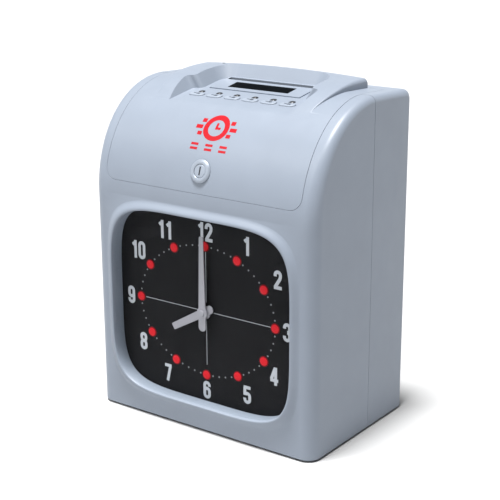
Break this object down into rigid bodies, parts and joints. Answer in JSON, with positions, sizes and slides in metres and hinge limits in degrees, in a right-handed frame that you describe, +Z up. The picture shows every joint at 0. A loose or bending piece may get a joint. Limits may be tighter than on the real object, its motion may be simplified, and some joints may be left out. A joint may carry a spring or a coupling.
{
  "type": "punch time clock",
  "caption": "Desk time recorder with a clock face behind a window, a hinged locking lid, keys, a display and a card slot on top.",
  "frame": {"origin": "centre of the footprint on the surface the feet stand on", "axes": "+Z up, -Y out of the clock face, +X to the right as seen from the front"},
  "size_m": [0.23, 0.1484, 0.2996],
  "materials": {
    "case_plastic": "fine satin moulded plastic, cool white",
    "dark_plastic": "satin black",
    "clear_acrylic": "clear gloss",
    "dial_black": "matt printed black",
    "hand_grey": "pale lilac grey paint",
    "steel": "zinc plated",
    "chrome": "bright",
    "brass": "bright",
    "white_acetal": "natural",
    "green_board": "solder resist",
    "black_rubber": "matt",
    "battery_wrap": "shrink wrap",
    "core_iron": "lacquered laminations"
  },
  "bodies": {
    "case": {"front_shell": "case_plastic", "rear_shell": "case_plastic", "base_plate": "case_plastic", "foot_1": "black_rubber", "foot_2": "black_rubber", "foot_3": "black_rubber", "foot_4": "black_rubber", "window_lens": "clear_acrylic", "dial_plate": "dial_black", "movement_frame": "steel", "clock_motor": "steel", "left_frame": "steel", "right_frame": "steel", "cross_plate": "steel", "chute_front": "steel", "chute_back": "steel", "guide_shaft": "steel", "carriage_motor": "steel", "drive_belt": "black_rubber", "feed_motor": "steel", "platen": "black_rubber", "main_board": "green_board", "transformer": "core_iron", "backup_battery": "battery_wrap", "power_inlet": "dark_plastic", "case_screw_1": "steel", "case_screw_2": "steel", "case_screw_3": "steel", "case_screw_4": "steel", "hinge_pin": "steel", "ribbon_cartridge": "dark_plastic"},
    "minute": {"minute_hand": "hand_grey", "minute_arbor": "brass"},
    "hour": {"hour_hand": "hand_grey", "hour_wheel": "brass"},
    "motion": {"motion_wheel": "brass"},
    "motor_rotor": {"motor_pinion": "white_acetal"},
    "carriage": {"carriage": "dark_plastic", "print_head": "dark_plastic"},
    "drive_pulley": {"drive_pulley": "white_acetal"},
    "idler_pulley": {"idler_pulley": "white_acetal"},
    "feed": {"feed_shaft": "steel", "feed_roller": "black_rubber"},
    "pinch": {"pinch_roller": "black_rubber"},
    "feed_pinion": {"feed_pinion": "white_acetal"},
    "ribbon_knob": {"ribbon_knob": "white_acetal"},
    "lid": {"lid": "case_plastic", "lcd_window": "dark_plastic", "lcd_module": "dark_plastic", "key_board": "green_board", "led_strip": "dark_plastic", "lock_barrel": "chrome"},
    "lock": {"lock_plug": "chrome", "lock_cam": "steel"},
    "button_1": {"button_1": "case_plastic"},
    "button_2": {"button_2": "case_plastic"},
    "button_3": {"button_3": "case_plastic"},
    "button_4": {"button_4": "case_plastic"},
    "button_5": {"button_5": "case_plastic"},
    "button_6": {"button_6": "case_plastic"}
  },
  "joints": [
    {"name": "lid_hinge", "type": "hinge", "parent": "case", "child": "lid", "pos_m": [0, 0.05605, 0.2913], "axis": [-1, 0, 0], "range_deg": [0, 80]},
    {"name": "lock_turn", "type": "hinge", "parent": "lid", "child": "lock", "pos_m": [0, -0.06507, 0.2283], "axis": [0, -0.9478, 0.3189], "range_deg": [0, 90]},
    {"name": "button_1_press", "type": "slide", "parent": "lid", "child": "button_1", "axis": [0, 0.1657, -0.9862], "range_m": [0, 0.001], "stiffness_N_per_m": 150},
    {"name": "button_2_press", "type": "slide", "parent": "lid", "child": "button_2", "axis": [0, 0.1657, -0.9862], "range_m": [0, 0.001], "stiffness_N_per_m": 150},
    {"name": "button_3_press", "type": "slide", "parent": "lid", "child": "button_3", "axis": [0, 0.1657, -0.9862], "range_m": [0, 0.001], "stiffness_N_per_m": 150},
    {"name": "button_4_press", "type": "slide", "parent": "lid", "child": "button_4", "axis": [0, 0.1657, -0.9862], "range_m": [0, 0.001], "stiffness_N_per_m": 150},
    {"name": "button_5_press", "type": "slide", "parent": "lid", "child": "button_5", "axis": [0, 0.1657, -0.9862], "range_m": [0, 0.001], "stiffness_N_per_m": 150},
    {"name": "button_6_press", "type": "slide", "parent": "lid", "child": "button_6", "axis": [0, 0.1657, -0.9862], "range_m": [0, 0.001], "stiffness_N_per_m": 150},
    {"name": "minute_hand_turn", "type": "hinge", "parent": "case", "child": "minute", "pos_m": [0, -0.06675, 0.106], "axis": [0, 1, 0], "continuous": true},
    {"name": "hour_hand_turn", "type": "hinge", "parent": "case", "child": "hour", "pos_m": [0, -0.06375, 0.106], "axis": [0, 1, 0], "continuous": true},
    {"name": "motion_wheel_turn", "type": "hinge", "parent": "case", "child": "motion", "pos_m": [0.012, -0.05375, 0.106], "axis": [0, 1, 0], "continuous": true},
    {"name": "motor_pinion_turn", "type": "hinge", "parent": "case", "child": "motor_rotor", "pos_m": [0, -0.04875, 0.09115], "axis": [0, 1, 0], "continuous": true},
    {"name": "carriage_slide", "type": "slide", "parent": "case", "child": "carriage", "axis": [1, 0, 0], "range_m": [-0.028, 0.028]},
    {"name": "drive_pulley_turn", "type": "hinge", "parent": "case", "child": "drive_pulley", "pos_m": [-0.066, -0.00305, 0.242], "axis": [0, 1, 0], "range_deg": [-240, 240]},
    {"name": "idler_pulley_turn", "type": "hinge", "parent": "case", "child": "idler_pulley", "pos_m": [0.066, -0.00305, 0.242], "axis": [0, 1, 0], "range_deg": [-240, 240]},
    {"name": "feed_roller_turn", "type": "hinge", "parent": "case", "child": "feed", "pos_m": [0, 0.02765, 0.21], "axis": [-1, 0, 0], "continuous": true},
    {"name": "pinch_roller_turn", "type": "hinge", "parent": "case", "child": "pinch", "pos_m": [0, 0.04045, 0.21], "axis": [-1, 0, 0], "continuous": true},
    {"name": "feed_pinion_turn", "type": "hinge", "parent": "case", "child": "feed_pinion", "pos_m": [-0.088, 0.02765, 0.1932], "axis": [-1, 0, 0], "continuous": true},
    {"name": "ribbon_knob_turn", "type": "hinge", "parent": "case", "child": "ribbon_knob", "pos_m": [0.05, 0.01525, 0.258], "axis": [0, 0, 1], "continuous": true}
  ],
  "couplings": [
    {"joint": "hour_hand_turn", "follows": "minute_hand_turn", "ratio": 0.083333},
    {"joint": "motion_wheel_turn", "follows": "minute_hand_turn", "ratio": -0.33333},
    {"joint": "motor_pinion_turn", "follows": "minute_hand_turn", "ratio": -4},
    {"joint": "drive_pulley_turn", "follows": "carriage_slide", "rad_per_m": 146},
    {"joint": "idler_pulley_turn", "follows": "carriage_slide", "rad_per_m": 146},
    {"joint": "pinch_roller_turn", "follows": "feed_roller_turn", "ratio": -1.4},
    {"joint": "feed_pinion_turn", "follows": "feed_roller_turn", "ratio": -2.5}
  ]
}
